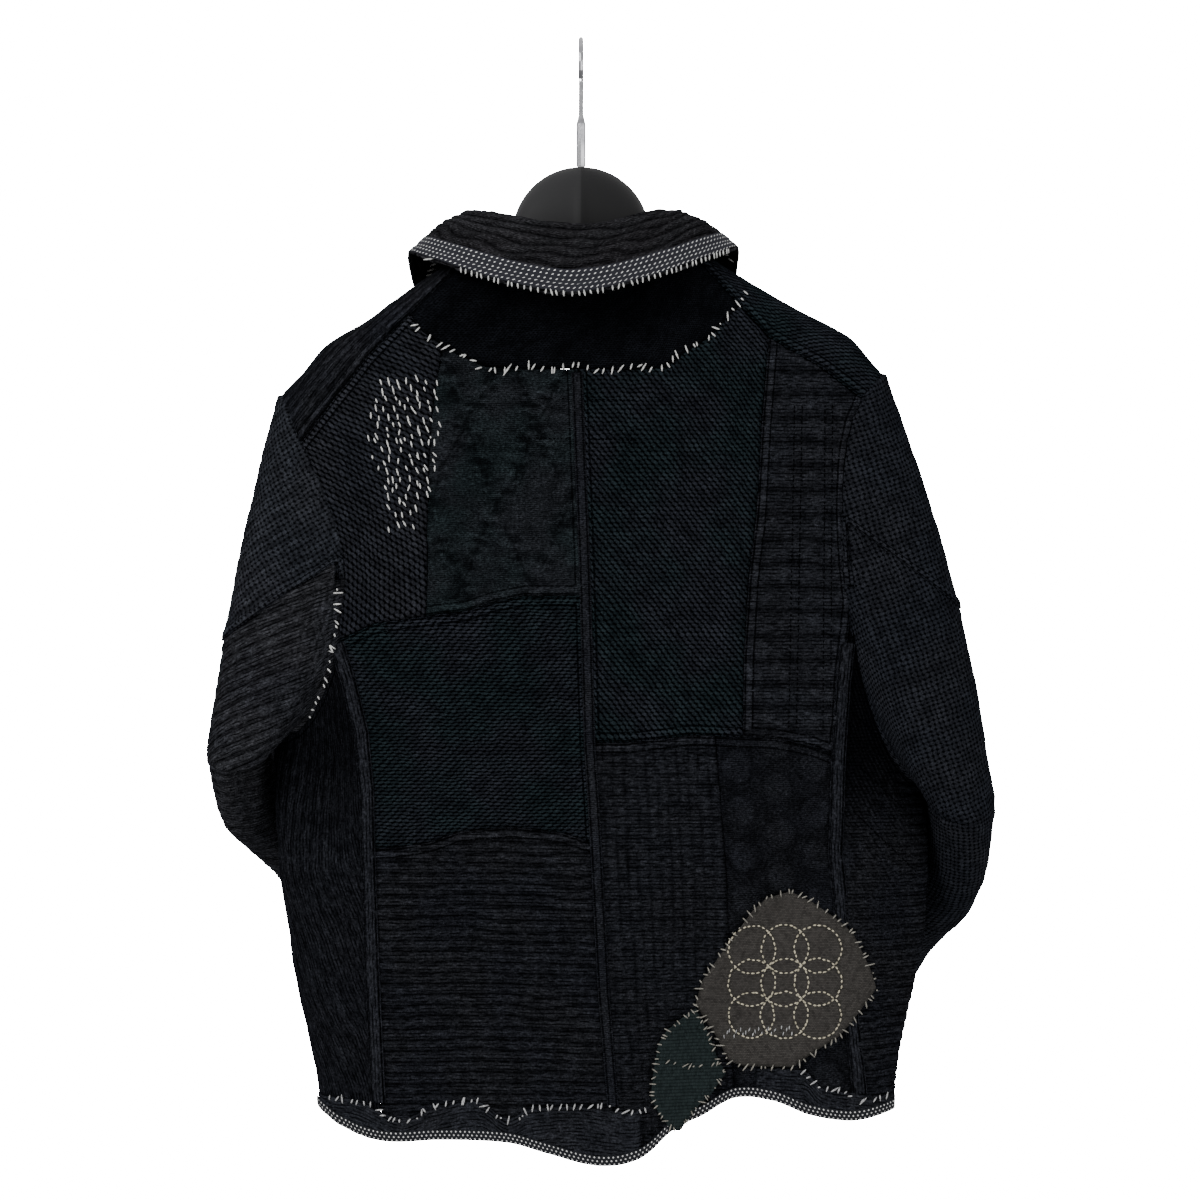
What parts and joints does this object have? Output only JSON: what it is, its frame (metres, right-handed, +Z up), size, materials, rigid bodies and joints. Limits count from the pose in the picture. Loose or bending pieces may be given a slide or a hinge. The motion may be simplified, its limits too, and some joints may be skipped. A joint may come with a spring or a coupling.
{
  "type": "pea coat on hanger",
  "caption": "Hip-length double-breasted pea coat of quilted patchwork cotton with a turned-down collar, hung on a broad plastic hanger with a wire hook.",
  "frame": {"origin": "the underside of the hook's wire, where the hanger rests on its rail", "axes": "+Z up, -Y out of the coat's back, +Y out of its front, +X to the right of someone who looks at the back"},
  "size_m": [0.629, 0.2683, 0.8923],
  "materials": {
    "indigo_quilt": "rows of hand stitching over layered indigo-black cotton, matt",
    "green_black_quilt": "dense self-coloured stitching on greenish black cotton, matt",
    "brown_black_quilt": "ribbed brownish black cotton, matt",
    "dark_twill": "plain black twill, matt",
    "dotted_tape": "black tape with rows of off-white dots",
    "grey_patch_cloth": "brownish grey plain weave, worn",
    "green_patch_cloth": "dark green-grey weave with a frayed edge",
    "horn": "dark horn-like buttons",
    "hanger_plastic": "satin charcoal plastic",
    "chrome": "polished chrome wire"
  },
  "bodies": {
    "root": {"hanger_hook": "chrome", "hanger_body": "hanger_plastic", "collar_stand": "dark_twill", "collar_fall": "brown_black_quilt", "collar_tape": "dotted_tape", "neck_yoke": "dark_twill", "back_left_rice": "green_black_quilt", "back_left_lattice": "green_black_quilt", "back_left_twill": "green_black_quilt", "back_left_rows": "indigo_quilt", "back_right_waffle": "green_black_quilt", "back_right_strip": "brown_black_quilt", "back_right_grid": "brown_black_quilt", "back_right_spots": "indigo_quilt", "shoulder_left": "indigo_quilt", "shoulder_right": "indigo_quilt", "side_left": "indigo_quilt", "side_right": "indigo_quilt", "front_left": "indigo_quilt", "front_right": "indigo_quilt", "lapel_left": "dark_twill", "lapel_right": "dark_twill", "hem_facing_left": "brown_black_quilt", "hem_facing_right": "brown_black_quilt", "hem_tape": "dotted_tape", "seam_centre_back": "indigo_quilt", "seam_side_left": "indigo_quilt", "seam_side_right": "indigo_quilt", "patch_grey": "grey_patch_cloth", "patch_green": "green_patch_cloth", "sleeve_left_cap": "indigo_quilt", "sleeve_left_upper": "indigo_quilt", "sleeve_left_forearm": "indigo_quilt", "sleeve_right_cuff": "indigo_quilt", "button_left_1": "horn", "button_left_2": "horn", "button_left_3": "horn", "sleeve_right_cap": "indigo_quilt", "sleeve_right_upper": "indigo_quilt", "sleeve_right_forearm": "indigo_quilt", "button_right_1": "horn", "button_right_2": "horn", "button_right_3": "horn"}
  },
  "joints": []
}
